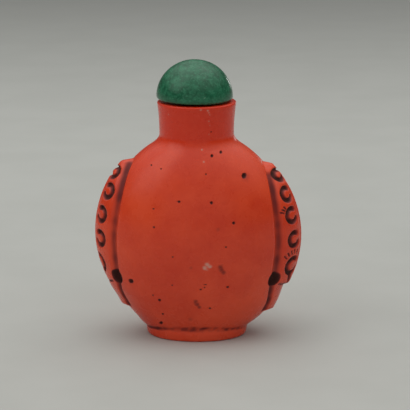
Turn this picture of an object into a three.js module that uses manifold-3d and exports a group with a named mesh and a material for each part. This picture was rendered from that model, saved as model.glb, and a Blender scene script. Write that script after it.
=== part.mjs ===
// A carved snuff bottle: a flattened round body with a cylindrical neck and an oval foot, a raised beast
// mask with a mane of curls on each narrow side, and a green stone stopper that lifts out.
// Millimetres, +Z up, +X to the right. The front face looks along -Y and the foot stands on z = 0.
import * as THREE from "three";
import { mergeVertices } from "three/addons/utils/BufferGeometryUtils.js";
import Module from "manifold-3d";

const wasm = await Module();
wasm.setup();

// Body: nearly a disc from the front, and deeper towards the neck when seen from the side.
const BODY_CENTRE_Z = 23.25;
const BODY_HALF_WIDTH = 21.6;
const BODY_REACH_UP = 24.85;
const BODY_REACH_DOWN = 25.15;
const BODY_HALF_DEPTH = 14.5;
const BODY_DEPTH_REACH_UP = 28.2;
const BODY_DEPTH_REACH_DOWN = 25.75;
const BODY_START_Z = 1.2;
const BODY_RINGS = 18;
const BODY_SIDES = 48;

// Neck: rises from the shoulder in a small fillet and flares a little to the lip.
const SHOULDER_Z = 44.6;
const FILLET_CORNER_Z = 46.05;
const NECK_START_Z = 47.4;
const NECK_RADIUS = 8.55;
const NECK_FLARE = 0.5;
const LIP_Z = 54.85;
const LIP_ROUND = 0.35;
const FILLET_RINGS = 3;
const NECK_RINGS = 3;

// Foot: an oval drum with rounded edges and a shallow recess below.
const FOOT_HALF_WIDTH = 11.7;
const FOOT_HALF_DEPTH = 9.1;
const FOOT_HEIGHT = 3.3;
const FOOT_ROUND = 0.6;
const FOOT_SIDES = 36;
const RECESS_SHARE = 0.72;
const RECESS_DEPTH = 0.6;

// Cavity: an egg-shaped hollow under a straight bore.
const WALL = 3;
const CAVITY_CENTRE_Z = 24.2;
const CAVITY_HALF_HEIGHT = 19.6;
const CAVITY_HALF_WIDTH = BODY_HALF_WIDTH - WALL;
const CAVITY_HALF_DEPTH = BODY_HALF_DEPTH - WALL;
const BORE_RADIUS = 4;
const CAVITY_RINGS = 12;
const CAVITY_SIDES = 28;

// Mask panels: leaf-shaped when seen from the side. The right one stands a little prouder and lower.
const PANELS = [
  { side: -1, reach: 23.55, top: 41.15, lift: 0.5, carveLift: 0.2 },
  { side: 1, reach: 24.2, top: 40.7, lift: -0.5, carveLift: -0.2 },
];
const MASK_CENTRE_Z = 24;
const MASK_HALF_HEIGHT = 24.25;
const CHIN_Z = 12.1;
const CHIN_RISE = 1.8;
const LEAF_HALF_WIDTH = 7.15;
const LEAF_WIDEST_Z = 21;
const LEAF_REACH_UP = 21.2;
const LEAF_POWER_UP = 3.5;
const LEAF_REACH_DOWN = 19;
const LEAF_TIP = 0.6;
const MASK_RINGS = 11;
const MASK_SIDES = 48;

// Jaw: the lower, flatter lobe that hangs below the chin.
const JAW_TOP_Z = 13.3;
const JAW_BOTTOM_Z = 6.1;
const JAW_REACH_AT_CHIN = 20.36;
const JAW_SLOPE = 0.48;
const JAW_HALF_WIDTH_TOP = 5.85;
const JAW_HALF_WIDTH_BOTTOM = 4.3;
const JAW_RINGS = 3;

// Carving: rows of C-shaped curls, a groove round each panel and a drilled hole where it ends.
const CURL_COUNT = 5;
const CURL_TOP_Z = 38.2;
const CURL_PITCH = 4.2;
const CURL_PITCH_GROWTH = 0.75;
const CURL_RADIUS = 1.5;
const CURL_RADIUS_GROWTH = 0.06;
const CURL_NARROW = 0.9;
const CURL_PLACE = 0.57;
const CURL_START = THREE.MathUtils.degToRad(110);
const CURL_END = THREE.MathUtils.degToRad(-150);
const CURL_TIGHTEN = 0.15;
const CURL_STEPS = 8;
const CURL_TOOL = 0.56;
const CURL_TOOL_SIDES = 5;
const BORDER_TOOL = 0.75;
const BORDER_STEPS = 12;
const JAW_TOOL = 0.45;
const JAW_STEPS = 3;
const TOOL_SIDES = 6;
const HOLE_Z = 14.75;
const HOLE_RADIUS = 1.7;
const HOLE_DEPTH = 1.6;
const HOLE_SIDES = 12;

// Stopper: a dome with a short plug, set down a little to the left and not quite level.
const STOPPER_GAP = 0.45;
const STOPPER_SHIFT_X = -0.5;
const STOPPER_TILT = THREE.MathUtils.degToRad(1);
const DOME_RADIUS = 8.75;
const DOME_CENTRE = 0.6;
const DOME_EDGE = 0.55;
const DOME_STEPS = 8;
const DOME_SIDES = 36;
const PLUG_RADIUS = 3.1;
const PLUG_LENGTH = 4.5;

// Extra length that a cutting solid has beyond what it cuts, and the box that bounds a panel.
const CLEAR = 2;
const PANEL_INNER_X = 9;
const PANEL_OUTER_X = 30;
const PANEL_HALF_SPAN = 12;

const CORAL = new THREE.MeshStandardMaterial({ color: 0xb23a22, roughness: 0.42, metalness: 0 });
const GREEN_STONE = new THREE.MeshStandardMaterial({ color: 0x1f6b4a, roughness: 0.3, metalness: 0 });

// Solids

function toSolid(geometry) {
  const bare = geometry.clone();
  bare.deleteAttribute("normal");
  bare.deleteAttribute("uv");
  const merged = mergeVertices(bare, 1e-4);
  const kept = [];
  const index = merged.index.array;
  for (let i = 0; i < index.length; i += 3) {
    const [a, b, c] = index.slice(i, i + 3);
    if (a !== b && b !== c && c !== a) kept.push(a, b, c);
  }
  const vertProperties = merged.attributes.position.array;
  return new wasm.Manifold(new wasm.Mesh({ numProp: 3, vertProperties, triVerts: new Uint32Array(kept) }));
}

function toGeometry(solid) {
  const mesh = solid.getMesh();
  const geometry = new THREE.BufferGeometry();
  geometry.setAttribute("position", new THREE.BufferAttribute(mesh.vertProperties, 3));
  geometry.setIndex(new THREE.BufferAttribute(mesh.triVerts, 1));
  geometry.computeVertexNormals();
  return geometry;
}

// A turned solid whose rings are then flattened in depth: each ring has its own half width and half depth.
function turnedOval(rings, sides) {
  const profile = rings.map((ring) => new THREE.Vector2(ring.halfWidth, ring.z));
  const geometry = new THREE.LatheGeometry(profile, sides).rotateX(Math.PI / 2);
  const position = geometry.attributes.position;
  for (let i = 0; i < position.count; i++) {
    const ring = rings[i % rings.length];
    if (ring.halfWidth > 0) position.setY(i, (position.getY(i) * ring.halfDepth) / ring.halfWidth);
  }
  return toSolid(geometry);
}

const onAxis = (z) => ({ z, halfWidth: 0, halfDepth: 0 });
const round = (z, radius) => ({ z, halfWidth: radius, halfDepth: radius });

function ellipseHalf(half, reach, rise) {
  return half * Math.sqrt(Math.max(0, 1 - (rise / reach) ** 2));
}

// Body and neck

function bodyRing(z) {
  const rise = z - BODY_CENTRE_Z;
  const reach = rise > 0 ? BODY_REACH_UP : BODY_REACH_DOWN;
  const depthReach = rise > 0 ? BODY_DEPTH_REACH_UP : BODY_DEPTH_REACH_DOWN;
  return {
    z,
    halfWidth: ellipseHalf(BODY_HALF_WIDTH, reach, rise),
    halfDepth: ellipseHalf(BODY_HALF_DEPTH, depthReach, rise),
  };
}

function bodyRings() {
  const low = Math.asin((BODY_START_Z - BODY_CENTRE_Z) / BODY_REACH_DOWN);
  const high = Math.asin((SHOULDER_Z - BODY_CENTRE_Z) / BODY_REACH_DOWN);
  const rings = [];
  for (let i = 0; i <= BODY_RINGS; i++) {
    const angle = THREE.MathUtils.lerp(low, high, i / BODY_RINGS);
    rings.push(bodyRing(BODY_CENTRE_Z + BODY_REACH_DOWN * Math.sin(angle)));
  }
  return rings;
}

function filletRings() {
  const shoulder = bodyRing(SHOULDER_Z);
  const height = new THREE.QuadraticBezierCurve(
    new THREE.Vector2(0, SHOULDER_Z),
    new THREE.Vector2(0, FILLET_CORNER_Z),
    new THREE.Vector2(0, NECK_START_Z),
  );
  const rings = [];
  for (let i = 1; i <= FILLET_RINGS; i++) {
    const t = i / FILLET_RINGS;
    const left = (1 - t) ** 2;
    rings.push({
      z: height.getPoint(t).y,
      halfWidth: NECK_RADIUS + left * (shoulder.halfWidth - NECK_RADIUS),
      halfDepth: NECK_RADIUS + left * (shoulder.halfDepth - NECK_RADIUS),
    });
  }
  return rings;
}

function neckRings() {
  const rings = [];
  for (let i = 1; i <= NECK_RINGS; i++) {
    const t = i / NECK_RINGS;
    const z = THREE.MathUtils.lerp(NECK_START_Z, LIP_Z - LIP_ROUND, t);
    rings.push(round(z, NECK_RADIUS + NECK_FLARE * t * t));
  }
  const lip = NECK_RADIUS + NECK_FLARE;
  const corner = LIP_ROUND * (1 - Math.SQRT1_2);
  return [...rings, round(LIP_Z - corner, lip - corner), round(LIP_Z, lip - LIP_ROUND)];
}

function makeBody() {
  const rings = [...bodyRings(), ...filletRings(), ...neckRings()];
  return turnedOval([onAxis(BODY_START_Z), ...rings, onAxis(LIP_Z)], BODY_SIDES);
}

// Foot

function footRing(z, inset) {
  return { z, halfWidth: FOOT_HALF_WIDTH - inset, halfDepth: FOOT_HALF_DEPTH - inset };
}

function makeFoot() {
  const corner = FOOT_ROUND * (1 - Math.SQRT1_2);
  const rings = [
    onAxis(0),
    footRing(0, FOOT_ROUND),
    footRing(corner, corner),
    footRing(FOOT_ROUND, 0),
    footRing(FOOT_HEIGHT - FOOT_ROUND, 0),
    footRing(FOOT_HEIGHT - corner, corner),
    footRing(FOOT_HEIGHT, FOOT_ROUND),
    onAxis(FOOT_HEIGHT),
  ];
  return turnedOval(rings, FOOT_SIDES);
}

function makeRecess() {
  const halfWidth = FOOT_HALF_WIDTH * RECESS_SHARE;
  const halfDepth = FOOT_HALF_DEPTH * RECESS_SHARE;
  const mouth = { z: -CLEAR, halfWidth, halfDepth };
  const floor = { z: RECESS_DEPTH, halfWidth, halfDepth };
  return turnedOval([onAxis(-CLEAR), mouth, floor, onAxis(RECESS_DEPTH)], FOOT_SIDES);
}

// Cavity and bore

function makeCavity() {
  const rings = [onAxis(CAVITY_CENTRE_Z - CAVITY_HALF_HEIGHT)];
  const last = Math.acos(BORE_RADIUS / CAVITY_HALF_DEPTH);
  for (let i = 1; i <= CAVITY_RINGS; i++) {
    const angle = THREE.MathUtils.lerp(-Math.PI / 2, last, i / CAVITY_RINGS);
    rings.push({
      z: CAVITY_CENTRE_Z + CAVITY_HALF_HEIGHT * Math.sin(angle),
      halfWidth: CAVITY_HALF_WIDTH * Math.cos(angle),
      halfDepth: CAVITY_HALF_DEPTH * Math.cos(angle),
    });
  }
  const boreStart = CAVITY_CENTRE_Z + CAVITY_HALF_HEIGHT;
  rings.push(round(boreStart, BORE_RADIUS), round(LIP_Z + CLEAR, BORE_RADIUS), onAxis(LIP_Z + CLEAR));
  return turnedOval(rings, CAVITY_SIDES);
}

// Mask and jaw: each lobe leaves the body exactly along its outline, and is fullest at the middle

function leafHalfWidth(panel, z) {
  const rise = z - panel.lift - LEAF_WIDEST_Z;
  const lost = rise > 0 ? (rise / LEAF_REACH_UP) ** LEAF_POWER_UP : (rise / LEAF_REACH_DOWN) ** 2;
  return Math.max(LEAF_TIP, LEAF_HALF_WIDTH * (1 - lost));
}

function maskReach(panel, z) {
  return ellipseHalf(panel.reach, MASK_HALF_HEIGHT, z - panel.lift - MASK_CENTRE_Z);
}

function jawHalfWidth(panel, z) {
  const share = (z - panel.lift - JAW_BOTTOM_Z) / (JAW_TOP_Z - JAW_BOTTOM_Z);
  return THREE.MathUtils.lerp(JAW_HALF_WIDTH_BOTTOM, JAW_HALF_WIDTH_TOP, share);
}

function jawReach(panel, z) {
  return JAW_REACH_AT_CHIN + JAW_SLOPE * (z - CHIN_Z);
}

// Distance from the axis to the body's wall at a depth y, along X.
function bodyWall(z, y) {
  const ring = bodyRing(z);
  return ellipseHalf(ring.halfWidth, ring.halfDepth, y);
}

// Half depth of the oval that meets the body's wall at the lobe's outline.
function lobeSpread(z, reach, outline) {
  return outline / Math.sqrt(1 - (bodyWall(z, outline) / reach) ** 2);
}

function makeLobe(panel, reachAt, outlineAt, lowZ, highZ, steps) {
  const rings = [];
  for (let i = 0; i <= steps; i++) {
    const z = THREE.MathUtils.lerp(lowZ, highZ, i / steps);
    const halfWidth = reachAt(panel, z);
    rings.push({ z, halfWidth, halfDepth: lobeSpread(z, halfWidth, outlineAt(panel, z)) });
  }
  return turnedOval([onAxis(lowZ), ...rings, onAxis(highZ)], MASK_SIDES);
}

// A block on one side of the bottle with the given outline in the YZ plane.
function sideBlock(panel, outline) {
  const depth = PANEL_OUTER_X - PANEL_INNER_X;
  const start = panel.side > 0 ? PANEL_INNER_X : -PANEL_OUTER_X;
  const block = new THREE.ExtrudeGeometry(outline, { depth, bevelEnabled: false, curveSegments: 10 });
  const yAxis = new THREE.Vector3(0, 1, 0);
  const zAxis = new THREE.Vector3(0, 0, 1);
  const xAxis = new THREE.Vector3(1, 0, 0);
  block.applyMatrix4(new THREE.Matrix4().makeBasis(yAxis, zAxis, xAxis)).translate(start, 0, 0);
  return toSolid(block);
}

function makeMask(panel) {
  const top = panel.top;
  const chin = CHIN_Z + panel.lift;
  const reach = 2 * PANEL_HALF_SPAN;
  const chinEdge = chin + CHIN_RISE * (PANEL_HALF_SPAN / LEAF_HALF_WIDTH) ** 2;
  const outline = new THREE.Shape();
  outline.moveTo(PANEL_HALF_SPAN, top);
  outline.lineTo(PANEL_HALF_SPAN - reach, top);
  outline.lineTo(PANEL_HALF_SPAN - reach, chinEdge);
  outline.quadraticCurveTo(0, 2 * chin - chinEdge, PANEL_HALF_SPAN, chinEdge);
  const lobe = makeLobe(panel, maskReach, leafHalfWidth, chin - CLEAR, top + CLEAR, MASK_RINGS);
  return lobe.intersect(sideBlock(panel, outline));
}

function makeJaw(panel) {
  const top = JAW_TOP_Z + panel.lift;
  const bottom = JAW_BOTTOM_Z + panel.lift;
  const outline = new THREE.Shape();
  outline.moveTo(PANEL_HALF_SPAN, top);
  outline.lineTo(-PANEL_HALF_SPAN, top);
  outline.lineTo(-PANEL_HALF_SPAN, bottom);
  outline.lineTo(PANEL_HALF_SPAN, bottom);
  const lobe = makeLobe(panel, jawReach, jawHalfWidth, bottom - CLEAR, top + CLEAR, JAW_RINGS);
  return lobe.intersect(sideBlock(panel, outline));
}

// Carving tools: round gouges that follow a line on the surface

function gouge(points, radius, sides, steps) {
  const section = new THREE.Shape();
  for (let i = 0; i < sides; i++) {
    const angle = (2 * Math.PI * i) / sides;
    const corner = [radius * Math.cos(angle), radius * Math.sin(angle)];
    if (i === 0) section.moveTo(...corner);
    else section.lineTo(...corner);
  }
  const extrudePath = new THREE.CatmullRomCurve3(points);
  return toSolid(new THREE.ExtrudeGeometry(section, { steps, bevelEnabled: false, extrudePath }));
}

function maskPoint(panel, y, z) {
  const reach = maskReach(panel, z);
  const spread = lobeSpread(z, reach, leafHalfWidth(panel, z));
  return new THREE.Vector3(panel.side * ellipseHalf(reach, spread, y), y, z);
}

// How far a step on the surface carries along Y, and along Z.
function surfaceShares(panel, y, z) {
  const small = 0.1;
  const here = maskPoint(panel, y, z).x;
  const slopeY = (maskPoint(panel, y + small, z).x - here) / small;
  const slopeZ = (maskPoint(panel, y, z + small).x - here) / small;
  return { alongY: 1 / Math.hypot(1, slopeY), alongZ: 1 / Math.hypot(1, slopeZ) };
}

function curlTool(panel, face, index) {
  const drop = CURL_PITCH * index + (CURL_PITCH_GROWTH * index * (index - 1)) / 2;
  const z = CURL_TOP_Z + panel.carveLift - drop;
  const y = CURL_PLACE * leafHalfWidth(panel, z);
  const radius = CURL_RADIUS + CURL_RADIUS_GROWTH * index;
  const shares = surfaceShares(panel, y, z);
  const points = [];
  for (let i = 0; i <= CURL_STEPS; i++) {
    const t = i / CURL_STEPS;
    const angle = THREE.MathUtils.lerp(CURL_START, CURL_END, t);
    const reach = radius * (1 - CURL_TIGHTEN * t);
    const outward = y + CURL_NARROW * reach * Math.cos(angle) * shares.alongY;
    points.push(maskPoint(panel, face * outward, z + reach * Math.sin(angle) * shares.alongZ));
  }
  return gouge(points, CURL_TOOL, CURL_TOOL_SIDES, CURL_STEPS);
}

function borderTool(panel, face, outlineAt, highZ, lowZ, radius, steps) {
  const points = [];
  for (let i = 0; i <= steps; i++) {
    const z = THREE.MathUtils.lerp(highZ, lowZ, i / steps);
    const y = outlineAt(panel, z);
    points.push(new THREE.Vector3(panel.side * bodyWall(z, y), face * y, z));
  }
  return gouge(points, radius, TOOL_SIDES, steps);
}

function holeTool(panel, face) {
  const z = HOLE_Z + panel.carveLift;
  const y = leafHalfWidth(panel, z);
  const ring = bodyRing(z);
  const place = new THREE.Vector3(panel.side * bodyWall(z, y), face * y, z);
  const outward = new THREE.Vector3(place.x / ring.halfWidth ** 2, place.y / ring.halfDepth ** 2, 0).normalize();
  const drill = new THREE.CylinderGeometry(HOLE_RADIUS, HOLE_RADIUS, 2 * HOLE_DEPTH, HOLE_SIDES);
  const turn = new THREE.Quaternion().setFromUnitVectors(new THREE.Vector3(0, 1, 0), outward);
  drill.applyQuaternion(turn).translate(place.x, place.y, place.z);
  return toSolid(drill);
}

function carvingTools(panel) {
  const tools = [];
  const hole = HOLE_Z + panel.carveLift;
  for (const face of [-1, 1]) {
    for (let i = 0; i < CURL_COUNT; i++) tools.push(curlTool(panel, face, i));
    const top = panel.top + CLEAR / 2;
    const bottom = JAW_BOTTOM_Z + panel.lift - CLEAR / 2;
    tools.push(borderTool(panel, face, leafHalfWidth, top, hole, BORDER_TOOL, BORDER_STEPS));
    tools.push(borderTool(panel, face, jawHalfWidth, hole, bottom, JAW_TOOL, JAW_STEPS));
    tools.push(holeTool(panel, face));
  }
  return tools;
}

// Bottle

function makeBottle() {
  let blank = makeBody().add(makeFoot());
  for (const panel of PANELS) blank = blank.add(makeMask(panel)).add(makeJaw(panel));
  let carved = blank.subtract(makeRecess());
  for (const panel of PANELS) {
    for (const tool of carvingTools(panel)) carved = carved.subtract(tool);
  }
  const bottle = new THREE.Mesh(toGeometry(carved.subtract(makeCavity())), CORAL);
  bottle.name = "bottle";
  return bottle;
}

// Stopper, drawn with its seat on z = 0

function makeStopper() {
  const rings = [
    onAxis(-PLUG_LENGTH),
    round(-PLUG_LENGTH, PLUG_RADIUS),
    round(0, PLUG_RADIUS),
    round(0, DOME_RADIUS - DOME_EDGE),
    round(DOME_CENTRE / 3, DOME_RADIUS - DOME_EDGE / 3),
  ];
  for (let i = 0; i < DOME_STEPS; i++) {
    const angle = (Math.PI / 2) * (i / DOME_STEPS);
    rings.push(round(DOME_CENTRE + DOME_RADIUS * Math.sin(angle), DOME_RADIUS * Math.cos(angle)));
  }
  rings.push(onAxis(DOME_CENTRE + DOME_RADIUS));
  const stopper = new THREE.Mesh(toGeometry(turnedOval(rings, DOME_SIDES)), GREEN_STONE);
  stopper.name = "stopper";
  const seat = new THREE.Group();
  seat.position.set(STOPPER_SHIFT_X, 0, LIP_Z + STOPPER_GAP);
  seat.rotation.y = STOPPER_TILT;
  seat.add(stopper);
  return seat;
}

const snuffBottle = new THREE.Group();
snuffBottle.add(makeBottle(), makeStopper());

export default snuffBottle;
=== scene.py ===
# %% [markdown]
# # A carved snuff bottle with a stone stopper
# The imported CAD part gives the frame: where the bottle and its stopper are, in metres.
# This lesson builds a finer skin for both pieces, paints them with nodes, and sets up a small studio.
# All mesh work below is in millimetres and is scaled to metres at the end of each piece.

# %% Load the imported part
import functools
import math

import bmesh
import bpy
from mathutils import Matrix, Vector, noise


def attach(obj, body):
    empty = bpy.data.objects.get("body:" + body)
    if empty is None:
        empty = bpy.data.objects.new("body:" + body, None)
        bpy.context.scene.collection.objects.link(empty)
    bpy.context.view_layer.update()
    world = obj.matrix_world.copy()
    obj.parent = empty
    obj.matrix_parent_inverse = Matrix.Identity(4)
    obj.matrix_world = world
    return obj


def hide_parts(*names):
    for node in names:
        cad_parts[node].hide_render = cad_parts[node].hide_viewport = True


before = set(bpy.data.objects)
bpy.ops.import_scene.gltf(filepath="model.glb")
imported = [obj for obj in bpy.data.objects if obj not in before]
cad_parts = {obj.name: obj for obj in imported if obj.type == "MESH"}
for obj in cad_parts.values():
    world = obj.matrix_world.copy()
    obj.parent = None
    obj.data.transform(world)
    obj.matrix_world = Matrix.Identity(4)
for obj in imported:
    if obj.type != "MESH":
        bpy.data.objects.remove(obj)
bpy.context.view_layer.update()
MM = 0.001
print("CAD nodes:", sorted(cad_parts))

# %% [markdown]
# ## The camera
# The photograph was taken from about half a metre away with a long lens, slightly from above and from the right.
# A long lens keeps the oval foot and the lip nearly as flat as they look there.

# %% Camera
CAMERA_AZIMUTH = math.radians(1.5)
CAMERA_PITCH = math.radians(12.69)
CAMERA_DISTANCE = 500.0
CAMERA_HEIGHT = 143.0
CAMERA_ASIDE = 1.9
FOCAL_PIXELS = 2218.0
FRAME_PIXELS = 410.0

lens = bpy.data.cameras.new("camera")
lens.sensor_width = 36.0
lens.lens = FOCAL_PIXELS * lens.sensor_width / FRAME_PIXELS
lens.clip_start = 0.01
camera = bpy.data.objects.new("camera", lens)
bpy.context.collection.objects.link(camera)
aside = Vector((math.cos(CAMERA_AZIMUTH), math.sin(CAMERA_AZIMUTH), 0.0)) * CAMERA_ASIDE
back = Vector((math.sin(CAMERA_AZIMUTH), -math.cos(CAMERA_AZIMUTH), 0.0)) * CAMERA_DISTANCE
camera.location = (aside + back + Vector((0.0, 0.0, CAMERA_HEIGHT))) * MM
camera.rotation_euler = (math.pi / 2 - CAMERA_PITCH, 0.0, CAMERA_AZIMUTH)
bpy.context.scene.camera = camera
print("lens", round(lens.lens, 1), "mm")

# %% [markdown]
# ## The bottle's outer wall
# The real bottle is carved from one lump: a disc-shaped body, a round neck and an oval foot.
# A lathe can't turn an oval, so the wall is described as a radius for each direction and height.
# Every height has a half width and a half depth, and the oval between them gives the radius.

# %% Sizes of the wall
BODY_CENTRE = 23.25
BODY_HALF_WIDTH = 21.6
BODY_REACH_UP = 24.65
BODY_REACH_DOWN = 25.15
BODY_HALF_DEPTH = 14.5
BODY_DEPTH_REACH_UP = 28.2
BODY_DEPTH_REACH_DOWN = 25.75
SHOULDER = 44.6
FILLET_CORNER = 45.95
NECK_START = 47.4
NECK_RADIUS = 8.55
NECK_FLARE = 0.5
LIP = 54.85
LIP_EDGE = 54.5
FOOT_HALF_WIDTH = 11.7
FOOT_HALF_DEPTH = 9.1
FOOT_EDGE = 0.5


def oval_half(half, reach, rise):
    return half * math.sqrt(max(0.0, 1.0 - (rise / reach) ** 2))


def oval_radius(half_width, half_depth, angle):
    return 1.0 / math.hypot(math.cos(angle) / half_width, math.sin(angle) / half_depth)


def larger(a, b, softness):
    return 0.5 * (a + b + math.hypot(a - b, softness))


def ease(low, high, value):
    t = min(1.0, max(0.0, (value - low) / (high - low)))
    return t * t * (3.0 - 2.0 * t)


@functools.lru_cache(maxsize=None)
def body_halves(z):
    rise = min(z, SHOULDER) - BODY_CENTRE
    reach = BODY_REACH_UP if rise > 0 else BODY_REACH_DOWN
    depth_reach = BODY_DEPTH_REACH_UP if rise > 0 else BODY_DEPTH_REACH_DOWN
    width = oval_half(BODY_HALF_WIDTH, reach, rise)
    depth = oval_half(BODY_HALF_DEPTH, depth_reach, rise)
    if z <= SHOULDER:
        return width, depth
    if z >= NECK_START:
        flare = NECK_FLARE * ((z - NECK_START) / (LIP_EDGE - NECK_START)) ** 2
        return NECK_RADIUS + flare, NECK_RADIUS + flare
    bend = 2 * (FILLET_CORNER - SHOULDER)
    curve = bend - (NECK_START - SHOULDER)
    t = (bend - math.sqrt(bend * bend - 4 * curve * (z - SHOULDER))) / (2 * curve)
    left = (1.0 - t) ** 2
    return NECK_RADIUS + left * (width - NECK_RADIUS), NECK_RADIUS + left * (depth - NECK_RADIUS)


def wall_radius(angle, z):
    radius = oval_radius(*body_halves(z), angle)
    if z > 5.5:
        return radius
    taper = 0.16 * (1.6 - min(z, 1.6))
    foot = oval_radius(FOOT_HALF_WIDTH, FOOT_HALF_DEPTH, angle) - taper
    return larger(foot - 30.0 * max(0.0, z - 3.6), radius, 0.12)


print("body at its widest", body_halves(BODY_CENTRE), "neck", body_halves(50.0)[0])

# %% [markdown]
# ## Spinning the blank
# A profile of short edges, from the middle of the underside up to the mouth, is spun round the Z axis.
# The rings lie closer together where the carving is, so that its grooves get enough vertices.
# The columns are then moved: many on the two narrow sides, few on the plain faces.

# %% Spin the profile
COLUMNS = 320
PANEL_COLUMNS = 57
PANEL_SPREAD = math.radians(38.0)
MERGE_DISTANCE = 0.0005
UNDERSIDE = [(0.0, 0.6), (4.0, 0.6), (7.6, 0.58), (8.15, 0.45), (8.35, 0.2), (8.6, 0.04), (8.9, 0.0)]
FOOT_RIM = [(10.75, 0.0), (11.05, 0.05), (11.3, 0.2), (11.45, 0.45)]
LIP_ROUND = [(9.03, 54.58), (8.96, 54.72), (8.82, 54.82), (8.6, 54.85), (6.4, 54.85), (4.6, 54.85), (4.3, 54.78)]


def heights(low, high, pitch):
    count = max(1, round((high - low) / pitch))
    return [low + (high - low) * i / count for i in range(1, count + 1)]


def spin_profile(mesh_data, profile, columns):
    """Turn a line of (radius, height) points once round the Z axis."""
    line = [mesh_data.verts.new((radius, 0.0, z)) for radius, z in profile]
    edges = [mesh_data.edges.new(pair) for pair in zip(line, line[1:])]
    bmesh.ops.spin(
        mesh_data, geom=line + edges, cent=(0, 0, 0), axis=(0, 0, 1), angle=math.tau, steps=columns, use_merge=True
    )


wall_rings = heights(0.55, 5.0, 0.23) + heights(5.0, 42.0, 0.19)
wall_rings += heights(42.0, 47.4, 0.34) + heights(47.4, 54.45, 0.5)
profile = UNDERSIDE + FOOT_RIM + [(body_halves(z)[0], z) for z in wall_rings] + LIP_ROUND

bottle_mesh = bmesh.new()
spin_profile(bottle_mesh, profile, COLUMNS)
bmesh.ops.remove_doubles(bottle_mesh, verts=bottle_mesh.verts, dist=MERGE_DISTANCE)
print("blank:", len(bottle_mesh.verts), "vertices,", len(profile), "rings")


# %% Crowd the columns on the narrow sides and give the blank its oval sections
def crowded(turn):
    quarter = math.pi / 2
    whole, rest = divmod(turn % math.tau, quarter)
    part = rest if whole % 2 == 0 else quarter - rest
    edge = quarter * PANEL_COLUMNS / (COLUMNS / 4)
    if part < edge:
        moved = part * PANEL_SPREAD / edge
    else:
        moved = PANEL_SPREAD + (part - edge) * (quarter - PANEL_SPREAD) / (quarter - edge)
    return whole * quarter + (moved if whole % 2 == 0 else quarter - moved)


def on_wall(z):
    return FOOT_EDGE < z < LIP_EDGE


for v in bottle_mesh.verts:
    reach = math.hypot(v.co.x, v.co.y)
    if reach < 0.001:
        continue
    share = crowded(math.atan2(v.co.y, v.co.x))
    angle = math.atan2(BODY_HALF_DEPTH * math.sin(share), BODY_HALF_WIDTH * math.cos(share))
    if on_wall(v.co.z):
        reach = wall_radius(angle, v.co.z)
    elif v.co.z <= FOOT_EDGE + 0.2:
        reach *= oval_radius(FOOT_HALF_WIDTH, FOOT_HALF_DEPTH, angle) / FOOT_HALF_WIDTH
    v.co.x = reach * math.cos(angle)
    v.co.y = reach * math.sin(angle)
print("front of the body at y =", round(min(v.co.y for v in bottle_mesh.verts), 2), "mm")

# %% [markdown]
# ## The beast masks
# Each narrow side carries a leaf-shaped panel that stands proud of the body, fullest along its middle.
# Above a step, the chin, lies the mask with its mane of curls. Below hangs a flatter jaw.
# Both lobes are ovals that meet the body along the panel's outline, so the larger radius wins.

# %% Lobes of a panel
PANELS = {
    -1: {"reach": 23.55, "top": 41.15, "lift": 0.5, "carve_lift": 0.2, "chin": 12.6},
    1: {"reach": 24.2, "top": 40.7, "lift": -0.5, "carve_lift": -0.2, "chin": 12.1},
}
MASK_CENTRE = 24.0
MASK_HALF_HEIGHT = 24.25
CHIN_RISE = 1.8
JAW_LEVEL = 12.1
LEAF_HALF_WIDTH = 7.15
LEAF_WIDEST = 21.0
LEAF_REACH_UP = 21.2
LEAF_POWER_UP = 3.5
LEAF_REACH_DOWN = 19.0
LEAF_TIP = 0.6
JAW_TOP = 13.3
JAW_BOTTOM = 6.6
JAW_REACH = 20.36
JAW_SLOPE = 0.48
JAW_WIDTHS = (3.9, 6.4)


def leaf_width(level):
    rise = level - LEAF_WIDEST
    lost = (rise / LEAF_REACH_UP) ** LEAF_POWER_UP if rise > 0 else (rise / LEAF_REACH_DOWN) ** 2
    return max(LEAF_TIP, LEAF_HALF_WIDTH * (1.0 - lost))


def jaw_width(level):
    low, high = JAW_WIDTHS
    return low + (high - low) * (level - JAW_BOTTOM) / (JAW_TOP - JAW_BOTTOM)


def chin_height(side, y):
    return PANELS[side]["chin"] + CHIN_RISE * (y / LEAF_HALF_WIDTH) ** 2


def lobe_depth(z, reach, outline):
    width, depth = body_halves(z)
    wall = oval_half(width, depth, outline)
    return outline / math.sqrt(max(0.02, 1.0 - (wall / reach) ** 2))


@functools.lru_cache(maxsize=None)
def mask_halves(side, z):
    level = z - PANELS[side]["lift"]
    reach = oval_half(PANELS[side]["reach"], MASK_HALF_HEIGHT, level - MASK_CENTRE)
    return reach, lobe_depth(z, reach, leaf_width(level))


@functools.lru_cache(maxsize=None)
def jaw_halves(side, z):
    reach = JAW_REACH + JAW_SLOPE * (z - JAW_LEVEL)
    return reach, lobe_depth(z, reach, jaw_width(z - PANELS[side]["lift"]))


def panel_rise(side, angle, z, body):
    """How far a panel stands out from the body, and the place on it: across from its middle, and height."""
    level = z - PANELS[side]["lift"]
    mask = oval_radius(*mask_halves(side, z), angle)
    across = abs(mask * math.sin(angle))
    rise = 0.0
    if JAW_BOTTOM - 1.0 < level < JAW_TOP + 0.5:
        jaw = oval_radius(*jaw_halves(side, z), angle)
        rise = max(0.0, jaw - body) * ease(JAW_BOTTOM - 0.35, JAW_BOTTOM + 0.25, level)
    top = PANELS[side]["top"]
    if z > PANELS[side]["chin"] - 1.0 and z < top + 1.0:
        chin = chin_height(side, across)
        shown = ease(chin - 0.3, chin + 0.25, z) * (1.0 - ease(top - 0.4, top + 0.2, z))
        rise = max(rise, max(0.0, mask - body) * shown)
    return rise, abs((body + rise) * math.sin(angle)), level


print("mask halves at mid height", mask_halves(1, 24.0), "jaw halves", jaw_halves(1, 9.0))

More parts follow.
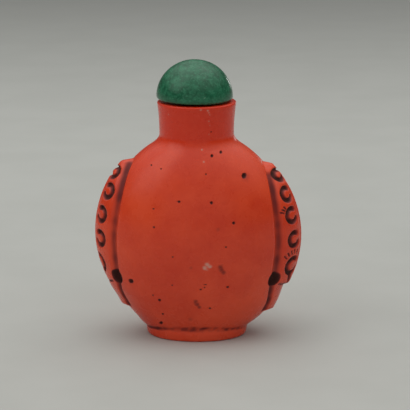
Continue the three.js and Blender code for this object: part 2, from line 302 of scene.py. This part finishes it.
# %% [markdown]
# ## The carving
# The carver's gouge left C-shaped curls, a groove round each panel and a drilled hole where the groove ends.
# Each cut is a distance to a line on the panel: near the line the wall sinks, and old dirt has collected there.
# The dirt, and the painted shade along the chin's step, are stored per vertex, so that the paint can follow them
# from any side.

# %% Curls of the mane
CURL_PLACES = {
    -1: [(1.3, 38.3), (3.2, 34.2), (3.5, 28.8), (3.7, 23.2), (1.9, 17.2)],
    1: [(1.5, 37.9), (3.0, 33.7), (3.8, 28.9), (3.9, 23.3), (3.3, 16.9)],
}
CURL_RADII = (1.4, 1.6, 1.65, 1.65, 1.95)
CURL_NARROW = 1.06
CURL_START = math.radians(118.0)
CURL_END = math.radians(-150.0)
CURL_TIGHTEN = 0.16
CURL_HALF_WIDTH = 0.74
CURL_DEPTH = 0.66
LAST_CURL = 4
LAST_CURL_TAIL = (0.2, -1.9, -0.5, -3.9)
LASHES = {(1, 2): (3, 22.0, 48.0, 2.6, 3.2), (1, LAST_CURL): (6, 42.0, 122.0, 3.2, 4.0)}


def mask_point(side, y, z):
    reach, depth = mask_halves(side, z)
    return Vector((oval_half(reach, depth, y), y, z))


def make_curl(side, index):
    """A curl's middle and the two directions that lie flat on the mask there: away from the nose, and up."""
    y, z = CURL_PLACES[side][index]
    outward = (mask_point(side, y + 0.1, z) - mask_point(side, y - 0.1, z)).normalized()
    upward = mask_point(side, y, z + 0.1) - mask_point(side, y, z - 0.1)
    upward = (upward - upward.dot(outward) * outward).normalized()
    return {"middle": mask_point(side, y, z), "outward": outward, "upward": upward, "radius": CURL_RADII[index]}


CURLS = {side: [make_curl(side, index) for index in range(len(CURL_RADII))] for side in PANELS}


def segment_distance(x, y, ax, ay, bx, by):
    dx, dy = bx - ax, by - ay
    t = max(0.0, min(1.0, ((x - ax) * dx + (y - ay) * dy) / (dx * dx + dy * dy)))
    return math.hypot(x - ax - t * dx, y - ay - t * dy)


def curl_distance(curl, u, v):
    turn = math.atan2(v, u)
    share = (CURL_START - turn) / (CURL_START - CURL_END)
    if 0.0 <= share <= 1.0:
        return abs(math.hypot(u, v) - curl["radius"] * (1.0 - CURL_TIGHTEN * share))
    ends = ((CURL_START, curl["radius"]), (CURL_END, curl["radius"] * (1.0 - CURL_TIGHTEN)))
    return min(math.hypot(u - r * math.cos(a), v - r * math.sin(a)) for a, r in ends)


def groove(distance, half_width, depth):
    return depth * (1.0 - ease(0.4 * half_width, half_width, distance))


def darkening(distance, half_width):
    return 1.0 - ease(0.4 * half_width, 1.08 * half_width, distance)


def lash_distance(u, v, count, start, end, inner, outer):
    """The short strokes that fan out round a curl: how many, from and to which angle, and their two ends."""
    nearest = 9.0
    for i in range(count):
        turn = math.radians(start + (end - start) * i / (count - 1))
        c, s = math.cos(turn), math.sin(turn)
        nearest = min(nearest, segment_distance(u, v, inner * c, inner * s, outer * c, outer * s))
    return nearest


def cut_curls(side, surface):
    depth, dirt_and_shade = 0.0, 0.0
    folded = Vector((abs(surface.x), abs(surface.y), surface.z))
    for index, curl in enumerate(CURLS[side]):
        offset = folded - curl["middle"]
        if offset.length > 6.0:
            continue
        u = offset.dot(curl["outward"]) / CURL_NARROW
        v = offset.dot(curl["upward"])
        near, lash = curl_distance(curl, u, v), 9.0
        if index == LAST_CURL:
            near = min(near, segment_distance(u, v, *LAST_CURL_TAIL))
        if (side, index) in LASHES:
            lash = lash_distance(u, v, *LASHES[side, index])
        depth = max(depth, groove(near, CURL_HALF_WIDTH, CURL_DEPTH), groove(lash, 0.26, 0.2))
        dirt_and_shade = max(dirt_and_shade, darkening(near, CURL_HALF_WIDTH), darkening(lash, 0.24))
    return depth, dirt_and_shade * (0.88 + 0.3 * noise.noise(surface * 0.9))


print("curl heights", [round(curl["middle"].z, 1) for curl in CURLS[1]])

# %% Grooves, hole and chin
BORDER_INSET = 0.45
BORDER_HALF_WIDTH = 0.95
BORDER_DEPTH = 0.62
HOLE_HEIGHT = 14.75
HOLE_RADIUS = 1.8
HOLE_DEPTH = 1.3


def patchy(level, salt):
    return 0.5 + 0.5 * noise.noise(Vector((level * 0.45, salt, 0.3)))


def cut_border(side, across, level):
    """The groove round the panel: wide and dirty beside the mask, narrow beside the jaw."""
    top = PANELS[side]["top"] - PANELS[side]["lift"]
    if level > HOLE_HEIGHT:
        past = across - leaf_width(level) + BORDER_INSET
        away = 0.62 * past if past > 0.0 else -1.3 * past
        start = top + 0.4 if side < 0 else top - 1.4
        faded = 1.0 - ease(start - 1.2, start, level)
        depth = BORDER_DEPTH * (1.0 - ease(0.1, BORDER_HALF_WIDTH, away)) * (0.3 + 0.7 * faded)
        core = 1.0 - ease(0.0, 0.88 * BORDER_HALF_WIDTH, away)
        mark = core * (0.46 + 0.14 * ease(29.0, 35.0, level) + 0.4 * (patchy(level, side) - 0.5))
        return depth, faded * mark
    if level > JAW_BOTTOM - 0.3:
        away = abs(across - jaw_width(level) + 0.2) * 1.1
        faded = ease(JAW_BOTTOM - 0.3, JAW_BOTTOM + 0.6, level)
        mark = (1.0 - ease(0.1, 0.95, away)) * (0.42 + 0.6 * patchy(level * 2.0, side))
        return groove(away, 0.7, 0.38) * faded, mark * faded
    return 0.0, 0.0


def hole_axis(side, face):
    z = HOLE_HEIGHT + PANELS[side]["carve_lift"]
    width, depth = body_halves(z)
    y = leaf_width(z - PANELS[side]["lift"])
    x = oval_half(width, depth, y)
    return Vector((side * x, face * y, z)), Vector((side * x / width**2, face * y / depth**2, 0.0)).normalized()


HOLES = {(side, face): hole_axis(side, face) for side in PANELS for face in (-1, 1)}


def cut_hole(side, surface):
    middle, outward = HOLES[side, 1 if surface.y > 0.0 else -1]
    offset = surface - middle
    away = (offset - offset.dot(outward) * outward).length / HOLE_RADIUS
    if away > 1.2:
        return 0.0, 0.0
    return HOLE_DEPTH * (1.0 - ease(0.7, 1.0, away)), 1.0 - ease(0.9, 1.1, away)


# The dark line along the chin's step is painted shade, as under an overhang, broken up by noise into ticks.
def cut_chin(side, across, z):
    away = abs(z - chin_height(side, across) - 0.1)
    shown = 1.0 - ease(4.2, 5.4, across)
    ragged = max(0.0, 0.6 + 0.9 * noise.noise(Vector((across * 1.6, z * 0.5, side))))
    return groove(away, 0.4, 0.12) * shown, min(0.9, ragged) * darkening(away, 0.34) * shown


def cut_nose(across, level):
    away = abs(across - (1.35 - 0.02 * (level - 16.0)))
    shown = ease(15.5, 17.5, level) * (1.0 - ease(34.0, 37.0, level))
    return groove(away, 0.55, 0.22) * shown, 0.25 * darkening(away, 0.35) * shown


print("hole sits", [round(value, 1) for value in HOLES[1, -1][0]])

# %% [markdown]
# ## Pits, chips and dirt
# The front shows a scatter of small dark pits, a pale chip, light flecks and smears,
# and the wall is darker in patches where the foot joins the body.
# The marks that can be seen are placed where the photograph has them: across, height and radius in millimetres.
# The back gets a few pits of its own from a simple rule, since it doesn't show.
# The mesh is made finer round each mark, because a pit is smaller than the faces of the plain wall.

# %% Pits on both faces
FRONT_PITS = [
    (-3.6, 34.1, 0.32), (3.7, 33.9, 0.35), (8.7, 29.2, 0.37), (11.0, 39.2, 0.62), (5.7, 44.5, 0.33),
    (3.7, 43.9, 0.34), (-9.3, 28.1, 0.24), (-10.1, 41.4, 0.2), (-7.8, 40.9, 0.18), (2.4, 40.1, 0.2),
    (-9.4, 32.2, 0.17), (-5.0, 21.5, 0.2), (7.0, 23.8, 0.2), (-14.8, 14.6, 0.62), (-5.2, 14.7, 0.17),
    (7.4, 14.2, 0.3), (1.3, 13.8, 0.22), (2.2, 14.3, 0.2), (2.5, 15.0, 0.15), (-9.7, 11.8, 0.2),
    (-8.3, 10.7, 0.34), (3.0, 9.0, 0.25), (-7.9, 7.0, 0.26), (-8.3, 4.4, 0.46), (3.5, 49.1, 0.17),
]
BACK_PITS = [(11.0 * math.sin(2.4 * i), 24.0 + 13.0 * math.cos(1.7 * i), 0.24 + 0.03 * (i % 4)) for i in range(11)]
SMUDGES = [
    (5.7, 19.1, 0.8), (6.0, 18.5, 0.8), (6.4, 17.9, 0.7), (0.0, 10.7, 0.7), (0.3, 10.0, 0.75), (0.6, 9.3, 0.6),
]
FAINT_SMUDGES = [(-0.9, 19.0, 0.6), (11.4, 38.9, 1.1), (-1.6, 6.0, 0.7), (5.2, 27.9, 0.6)]
# Pale flecks: a chip on the belly, and small pale specks on the shoulder and neck.
PALE_FLECKS = [
    (2.2, 19.1, 0.8), (2.8, 19.8, 0.75), (3.3, 19.3, 0.6), (1.4, 45.2, 0.24), (1.9, 42.7, 0.24),
    (2.8, 54.1, 0.25), (3.0, 53.6, 0.22), (3.2, 53.1, 0.22), (3.0, 51.6, 0.2), (3.2, 50.6, 0.16), (3.0, 48.6, 0.2),
    (1.2, 54.3, 0.25), (-6.2, 52.8, 0.2),
]
SMUDGE_STRENGTHS = [(spot, 0.46) for spot in SMUDGES] + [(spot, 0.24) for spot in FAINT_SMUDGES]
FRONT_MARKS = FRONT_PITS + SMUDGES + FAINT_SMUDGES + PALE_FLECKS
PIT_DEPTH = 0.7
FINE_MARGIN = 0.3


def near_mark(place):
    if not on_wall(place.z):
        return False
    for x, z, radius in FRONT_MARKS if place.y < 0.0 else BACK_PITS:
        if abs(place.z - z) < radius + FINE_MARGIN and abs(place.x - x) < radius + FINE_MARGIN:
            return True
    return False


close_faces = [f for f in bottle_mesh.faces if near_mark(f.calc_center_median())]
close_edges = list({e for f in close_faces for e in f.edges})
bmesh.ops.subdivide_edges(bottle_mesh, edges=close_edges, cuts=3, use_grid_fill=True)
print("pits:", len(FRONT_PITS), "in front,", len(BACK_PITS), "behind;", len(close_faces), "faces made finer")


def cut_pits(place):
    """How deep the wall is pitted at a place, how dirty it is there, and how pale."""
    depth, dirt_and_shade, pale = 0.0, 0.0, 0.0
    for x, z, radius in FRONT_PITS if place.y < 0.0 else BACK_PITS:
        if abs(place.z - z) > 2.0 * radius or abs(place.x - x) > 2.0 * radius:
            continue
        wobble = 1.0 + 0.25 * noise.noise(place * 2.2)
        away = math.hypot(place.x - x, 0.9 * (place.z - z)) * wobble / radius
        depth = max(depth, PIT_DEPTH * radius * (1.0 - ease(0.2, 1.0, away)))
        dirt_and_shade = max(dirt_and_shade, 1.0 - ease(0.5, 1.15, away))
    if place.y < 0.0:
        for (x, z, radius), strength in SMUDGE_STRENGTHS:
            away = math.hypot(place.x - x, place.z - z) * (1.0 + 0.4 * noise.noise(place * 1.9)) / radius
            dirt_and_shade = max(dirt_and_shade, strength * (1.0 - ease(0.0, 1.4, away)))
        for x, z, radius in PALE_FLECKS:
            ragged = 1.0 + 0.6 * noise.noise(place * 1.7)
            away = math.hypot(place.x - x, 1.2 * (place.z - z)) * ragged / radius
            pale = max(pale, 0.8 * (1.0 - ease(0.3, 1.0, away)))
    return depth, dirt_and_shade, pale


# %% [markdown]
# ## Carving the blank
# Each vertex of the wall is now moved along its own direction, in or out, to where the carving leaves it.
# A slow wave of a few hundredths of a millimetre keeps the hand-cut wall from looking machined,
# and the lowest part of the belly leans a little to the right, as the carver left it.

# %% Move every vertex of the wall
BELLY_LEAN = 0.4
WALL_WAVE = 0.05
# This layer holds dirt and also the painted shade along the chin's step.
dirt_and_shade_layer = bottle_mesh.verts.layers.float.new("dirt_and_shade")
pale_layer = bottle_mesh.verts.layers.float.new("pale")


def carve(place):
    angle = math.atan2(place.y, place.x)
    z = place.z
    body = wall_radius(angle, z)
    radius, depth, dirt_and_shade = body, 0.0, 0.0
    side = 1 if place.x > 0.0 else -1
    if 5.0 < z < 42.3 and abs(math.cos(angle)) > 0.75:
        rise, across, level = panel_rise(side, angle, z, body)
        radius += rise
        surface = Vector((radius * math.cos(angle), radius * math.sin(angle), z))
        cuts = [cut_chin(side, across, z), cut_hole(side, surface)]
        if rise > 0.05 and z > PANELS[side]["chin"] - 0.3 and z < PANELS[side]["top"]:
            cuts += [cut_curls(side, surface), cut_nose(across, level)]
        if z < PANELS[side]["top"] + 0.3:
            cuts.append(cut_border(side, across, level))
        depth = max(cut for cut, mark in cuts)
        dirt_and_shade = max(mark for cut, mark in cuts)
    cut, mark, pale = cut_pits(place)
    depth, dirt_and_shade = max(depth, cut), max(dirt_and_shade, mark)
    # Along the foot's joint with the body the wall is darkened in patches.
    if z < 4.5:
        foot = oval_radius(FOOT_HALF_WIDTH, FOOT_HALF_DEPTH, angle)
        seam = abs(foot - oval_radius(*body_halves(z), angle))
        spots = 0.34 + 0.55 * noise.noise(Vector((place.x * 0.3, place.y * 0.3, 7.0)))
        spots += 0.4 * noise.noise(place * 1.3)
        dirt_and_shade = max(dirt_and_shade, (1.0 - ease(0.05, 0.9, seam)) * max(0.12, min(0.85, spots)))
    radius += WALL_WAVE * noise.noise(place * 0.11) - depth
    lean = BELLY_LEAN * ease(2.5, 5.0, z) * (1.0 - ease(8.0, 12.0, z))
    return Vector((radius * math.cos(angle) + lean, radius * math.sin(angle), z)), dirt_and_shade, pale


for v in bottle_mesh.verts:
    if on_wall(v.co.z):
        v.co, v[dirt_and_shade_layer], v[pale_layer] = carve(v.co.copy())
reaches = [v.co.x for v in bottle_mesh.verts]
print("carved width", round(max(reaches) - min(reaches), 2), "mm")

# %% [markdown]
# ## The hollow
# Such bottles are hollowed through the neck: a narrow bore and a wider egg-shaped cavity below.
# The inside is plain, so it is spun with fewer columns and squeezed to an oval.
# Then bridge_loops closes the ring between the lip and the bore.

# %% Spin the cavity and bridge it to the lip
CAVITY_COLUMNS = 80
CAVITY_CENTRE = 24.2
CAVITY_HALF_HEIGHT = 19.6
CAVITY_HALF_WIDTH = 18.6
CAVITY_HALF_DEPTH = 11.5
CAVITY_RINGS = 24
BORE_RADIUS = 4.0
BORE_END = 43.8

lip_edges = [e for e in bottle_mesh.edges if e.is_boundary]
inside = [(BORE_RADIUS + 0.08, 54.6)] + [(BORE_RADIUS, z) for z in (54.3, 50.0, 46.5, BORE_END)]
last = math.acos(BORE_RADIUS / CAVITY_HALF_DEPTH)
for i in range(CAVITY_RINGS + 1):
    turn = last - (last + math.pi / 2) * i / CAVITY_RINGS
    radius = max(0.0, CAVITY_HALF_WIDTH * math.cos(turn))
    inside.append((radius, CAVITY_CENTRE + CAVITY_HALF_HEIGHT * math.sin(turn)))
known = set(bottle_mesh.verts)
spin_profile(bottle_mesh, inside, CAVITY_COLUMNS)
hollow = [v for v in bottle_mesh.verts if v not in known]
for v in hollow:
    if v.co.z < BORE_END - 0.1:
        v.co.y *= CAVITY_HALF_DEPTH / CAVITY_HALF_WIDTH
bmesh.ops.remove_doubles(bottle_mesh, verts=hollow, dist=MERGE_DISTANCE)
mouth_edges = [e for e in bottle_mesh.edges if e.is_boundary and e not in set(lip_edges)]
bmesh.ops.bridge_loops(bottle_mesh, edges=lip_edges + mouth_edges)
bmesh.ops.triangulate(bottle_mesh, faces=[f for f in bottle_mesh.faces if len(f.verts) > 4])
bmesh.ops.recalc_face_normals(bottle_mesh, faces=bottle_mesh.faces)
print("open edges left:", sum(e.is_boundary or not e.is_manifold for e in bottle_mesh.edges))


# %% Finish a piece as an object
def finish_piece(mesh_data, name, node):
    bmesh.ops.scale(mesh_data, vec=(MM, MM, MM), verts=mesh_data.verts)
    for face in mesh_data.faces:
        face.smooth = True
    mesh = bpy.data.meshes.new(name)
    mesh_data.to_mesh(mesh)
    mesh_data.free()
    piece = bpy.data.objects.new(name, mesh)
    bpy.context.collection.objects.link(piece)
    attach(piece, "root")
    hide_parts(node)
    mesh.calc_loop_triangles()
    print(name, "has", len(mesh.loop_triangles), "triangles")
    return piece


bottle = finish_piece(bottle_mesh, "carved_bottle", "bottle")

# %% [markdown]
# ## The stopper
# A dome of green stone with a soft lower edge sits on the lip, a little to the left and not quite level.
# One spun profile makes the dome and the short plug that goes into the mouth, and a light wave breaks the round.

# %% Spin the stopper
STOPPER_GAP = 0.45
STOPPER_SHIFT = -0.5
STOPPER_TILT = math.radians(1.0)
DOME_RADIUS = 8.75
DOME_HEIGHT = 8.45
DOME_CENTRE = 0.6
DOME_RINGS = 36
DOME_COLUMNS = 96
PLUG_RADIUS = 3.1
PLUG_LENGTH = 4.5

dome = [(0.0, -PLUG_LENGTH), (PLUG_RADIUS - 0.4, -PLUG_LENGTH), (PLUG_RADIUS, -PLUG_LENGTH + 0.4)]
dome += [(PLUG_RADIUS, -1.0), (PLUG_RADIUS, -0.25), (PLUG_RADIUS + 0.25, 0.0)]
dome += [(6.0, 0.0), (8.05, 0.0), (8.3, 0.05), (8.5, 0.16), (8.66, 0.34)]
for i in range(DOME_RINGS):
    turn = math.pi / 2 * i / DOME_RINGS
    dome.append((DOME_RADIUS * math.cos(turn), DOME_CENTRE + DOME_HEIGHT * math.sin(turn)))
dome.append((0.0, DOME_CENTRE + DOME_HEIGHT))

stopper_mesh = bmesh.new()
spin_profile(stopper_mesh, dome, DOME_COLUMNS)
bmesh.ops.remove_doubles(stopper_mesh, verts=stopper_mesh.verts, dist=MERGE_DISTANCE)
for v in stopper_mesh.verts:
    if v.co.z > 0.2:
        v.co += v.co.normalized() * 0.05 * noise.noise(v.co * 0.25)
bmesh.ops.recalc_face_normals(stopper_mesh, faces=stopper_mesh.faces)
tilt = Matrix.Rotation(STOPPER_TILT, 3, "Y")
bmesh.ops.rotate(stopper_mesh, verts=stopper_mesh.verts, cent=(0, 0, 0), matrix=tilt)
bmesh.ops.translate(stopper_mesh, verts=stopper_mesh.verts, vec=(STOPPER_SHIFT, 0, LIP + STOPPER_GAP))
stopper = finish_piece(stopper_mesh, "stone_stopper", "stopper")


# %% [markdown]
# ## Finishes
# Both materials are built from nodes that read Object coordinates, in metres, so a noise scale of 250 is about 4 mm.
# The coral is a warm red with slow, cloudy changes of tone and a deeper neck.
# Thin dirt only darkens the red, and thick dirt in the cuts is nearly black and more matte; the painted shade along
# the chin's step takes the same two colours.

# %% Helpers for node trees
class Paint:
    """A material with one Principled shader, and short calls to add nodes to it."""

    def __init__(self, name):
        self.material = bpy.data.materials.new(name)
        self.material.use_nodes = True
        self.tree = self.material.node_tree
        self.shader = self.tree.nodes["Principled BSDF"]
        self.place = self.tree.nodes.new("ShaderNodeTexCoord").outputs["Object"]

    def join(self, source, socket):
        self.tree.links.new(source, socket)

    def noise(self, scale, detail, roughness=0.5):
        node = self.tree.nodes.new("ShaderNodeTexNoise")
        node.inputs["Scale"].default_value = scale
        node.inputs["Detail"].default_value = detail
        node.inputs["Roughness"].default_value = roughness
        self.join(self.place, node.inputs["Vector"])
        return node.outputs["Fac"]

    def cells(self, scale):
        node = self.tree.nodes.new("ShaderNodeTexVoronoi")
        node.inputs["Scale"].default_value = scale
        self.join(self.place, node.inputs["Vector"])
        return node

    def span(self, value, low, high, to_low=0.0, to_high=1.0):
        node = self.tree.nodes.new("ShaderNodeMapRange")
        node.interpolation_type = "SMOOTHSTEP"
        node.inputs["From Min"].default_value = low
        node.inputs["From Max"].default_value = high
        node.inputs["To Min"].default_value = to_low
        node.inputs["To Max"].default_value = to_high
        self.join(value, node.inputs["Value"])
        return node.outputs["Result"]

    def math(self, operation, a, b):
        node = self.tree.nodes.new("ShaderNodeMath")
        node.operation = operation
        for socket, value in zip(node.inputs, (a, b)):
            if isinstance(value, float):
                socket.default_value = value
            else:
                self.join(value, socket)
        return node.outputs["Value"]

    def mix(self, share, a, b):
        node = self.tree.nodes.new("ShaderNodeMix")
        node.data_type = "RGBA"
        self.join(share, node.inputs[0])
        for socket, value in zip((node.inputs[6], node.inputs[7]), (a, b)):
            if isinstance(value, tuple):
                socket.default_value = (*value, 1.0)
            else:
                self.join(value, socket)
        return node.outputs[2]

    def along(self, axis):
        node = self.tree.nodes.new("ShaderNodeSeparateXYZ")
        self.join(self.place, node.inputs["Vector"])
        return node.outputs[axis]

    def attribute(self, name):
        node = self.tree.nodes.new("ShaderNodeAttribute")
        node.attribute_name = name
        return node.outputs["Fac"]

    def bump(self, height, strength, distance):
        node = self.tree.nodes.new("ShaderNodeBump")
        node.inputs["Strength"].default_value = strength
        node.inputs["Distance"].default_value = distance
        self.join(height, node.inputs["Height"])
        self.join(node.outputs["Normal"], self.shader.inputs["Normal"])


# %% Coral red
DEEP_CORAL = (0.69, 0.04, 0.009)
LIGHT_CORAL = (0.84, 0.078, 0.023)
NECK_CORAL = (0.72, 0.03, 0.004)
WORN_CORAL = (0.86, 0.09, 0.03)
FLECK_PINK = (0.72, 0.38, 0.3)
THIN_DIRT_AND_SHADE = (0.17, 0.004, 0.0008)
THICK_DIRT_AND_SHADE = (0.042, 0.004, 0.001)

coral = Paint("coral_red")
dirt_and_shade = coral.attribute("dirt_and_shade")
clouds = coral.span(coral.noise(60.0, 5.0, 0.6), 0.32, 0.68)
grain = coral.span(coral.noise(900.0, 3.0, 0.6), 0.35, 0.65)
tone = coral.mix(clouds, DEEP_CORAL, LIGHT_CORAL)
tone = coral.mix(coral.span(coral.along("Z"), 0.045, 0.048), tone, NECK_CORAL)
tone = coral.mix(coral.math("MULTIPLY", grain, 0.15), tone, WORN_CORAL)
tone = coral.mix(coral.attribute("pale"), tone, FLECK_PINK)
# These two colours show the dirt, and also the painted shade along the chin's step.
tone = coral.mix(coral.span(dirt_and_shade, 0.0, 0.6), tone, THIN_DIRT_AND_SHADE)
tone = coral.mix(coral.span(dirt_and_shade, 0.5, 1.0), tone, THICK_DIRT_AND_SHADE)
coral.join(tone, coral.shader.inputs["Base Color"])
worn = coral.span(coral.noise(300.0, 5.0, 0.6), 0.3, 0.7, 0.22, 0.32)
coral.join(coral.math("ADD", worn, coral.math("MULTIPLY", dirt_and_shade, 0.6)), coral.shader.inputs["Roughness"])
coral.shader.inputs["Specular IOR Level"].default_value = 0.42
coral.bump(coral.noise(700.0, 6.0, 0.65), 0.1, 0.00008)
bottle.data.materials.append(coral.material)
print("coral nodes:", len(coral.tree.nodes))

# %% [markdown]
# The stopper is a granular green stone: dark green with lighter grey-green clouds and a few bright crystals.
# Small Voronoi cells give every grain its own tone, and a noise thinned out to its highest values gives the
# sparkles.

# %% Green stone
DEEP_GREEN = (0.008, 0.09, 0.041)
LIGHT_GREEN = (0.022, 0.175, 0.086)
LIGHT_GRAIN = (0.06, 0.27, 0.15)
DARK_GRAIN = (0.006, 0.06, 0.026)
CRYSTAL_GREEN = (0.16, 0.38, 0.25)

green = Paint("green_stone")
clouds = green.span(green.noise(560.0, 6.0, 0.7), 0.32, 0.7)
grains = green.cells(2600.0)
tone = green.mix(clouds, DEEP_GREEN, LIGHT_GREEN)
one_grain = green.tree.nodes.new("ShaderNodeSeparateColor")
green.join(grains.outputs["Color"], one_grain.inputs["Color"])
tone = green.mix(green.span(one_grain.outputs["Red"], 0.55, 1.0, 0.0, 0.4), tone, LIGHT_GRAIN)
tone = green.mix(green.span(one_grain.outputs["Green"], 0.7, 1.0, 0.0, 0.3), tone, DARK_GRAIN)
sparkle = green.span(green.noise(1500.0, 1.0, 0.4), 0.75, 0.82)
tone = green.mix(green.math("MULTIPLY", sparkle, 0.6), tone, CRYSTAL_GREEN)
green.join(tone, green.shader.inputs["Base Color"])
green.join(green.span(clouds, 0.0, 1.0, 0.2, 0.28), green.shader.inputs["Roughness"])
green.shader.inputs["Specular IOR Level"].default_value = 0.38
green.bump(green.noise(1400.0, 4.0, 0.6), 0.03, 0.00005)
stopper.data.materials.append(green.material)
print("green stone nodes:", len(green.tree.nodes))

# %% [markdown]
# ## Studio
# A plain pale floor reaches past the camera's view, and its colour gets darker towards the back: painted shade for
# the light falling off, as on a paper sweep.
# Polished stone shows what is round it, so the world is a light tent: bright overhead and dark at the horizon.
# One large soft light hangs above, weaker panels stand at the left and in front,
# and a narrow strip at the back right gives the stopper its bright edge.

# %% Floor
floor_mesh = bmesh.new()
bmesh.ops.create_grid(floor_mesh, x_segments=8, y_segments=8, size=2.5)
floor_data = bpy.data.meshes.new("floor")
floor_mesh.to_mesh(floor_data)
floor_mesh.free()
floor = bpy.data.objects.new("floor", floor_data)
bpy.context.collection.objects.link(floor)
paper = Paint("pale_paper")
fibre = paper.span(paper.noise(40.0, 3.0), 0.3, 0.7)
sheet = paper.mix(fibre, (0.45, 0.46, 0.435), (0.47, 0.48, 0.455))
# Painted shade: the paper's colour darkens towards the back, where less light reaches it.
sheet = paper.mix(paper.span(paper.along("Y"), 0.15, 0.75), sheet, (0.19, 0.194, 0.184))
paper.join(sheet, paper.shader.inputs["Base Color"])
paper.shader.inputs["Roughness"].default_value = 0.9
floor.data.materials.append(paper.material)
print("floor reaches", round(floor.dimensions.x / 2, 2), "m to each side")


# %% Lights
PALE_LIGHT = (1.0, 0.995, 0.975)


def soft_light(name, place, aim, width, height, power):
    data = bpy.data.lights.new(name, "AREA")
    data.shape = "RECTANGLE"
    data.size = width
    data.size_y = height
    data.energy = power
    data.color = PALE_LIGHT
    light = bpy.data.objects.new(name, data)
    light.location = place
    light.rotation_euler = (Vector(aim) - Vector(place)).to_track_quat("-Z", "Y").to_euler()
    light.visible_camera = False
    bpy.context.collection.objects.link(light)


soft_light("overhead", (0.0, 0.1, 1.1), (0.0, 0.05, 0.0), 1.4, 1.1, 3.7)
soft_light("left_panel", (-0.7, -0.3, 0.6), (0.0, 0.0, 0.03), 0.7, 0.7, 0.9)
soft_light("front_panel", (0.0, -1.1, 0.24), (0.0, 0.0, 0.04), 1.5, 0.34, 0.55)
soft_light("back_strip", (0.3, 0.75, 0.07), (0.0, 0.0, 0.06), 0.06, 0.12, 0.09)

# %% Light tent
world = bpy.data.worlds.new("studio")
world.use_nodes = True
sky = world.node_tree
way = sky.nodes.new("ShaderNodeTexCoord")
parts = sky.nodes.new("ShaderNodeSeparateXYZ")
tent = sky.nodes.new("ShaderNodeMapRange")
tent.interpolation_type = "SMOOTHSTEP"
tent.inputs["From Min"].default_value = 0.2
tent.inputs["From Max"].default_value = 0.75
tent.inputs["To Min"].default_value = 0.07
tent.inputs["To Max"].default_value = 0.86
sky.links.new(way.outputs["Generated"], parts.inputs["Vector"])
sky.links.new(parts.outputs["Z"], tent.inputs["Value"])
sky.links.new(tent.outputs["Result"], sky.nodes["Background"].inputs["Strength"])
sky.nodes["Background"].inputs["Color"].default_value = (*PALE_LIGHT, 1.0)
bpy.context.scene.world = world
bpy.context.scene.view_settings.view_transform = "Standard"
print("lights:", sorted(light.name for light in bpy.data.lights))
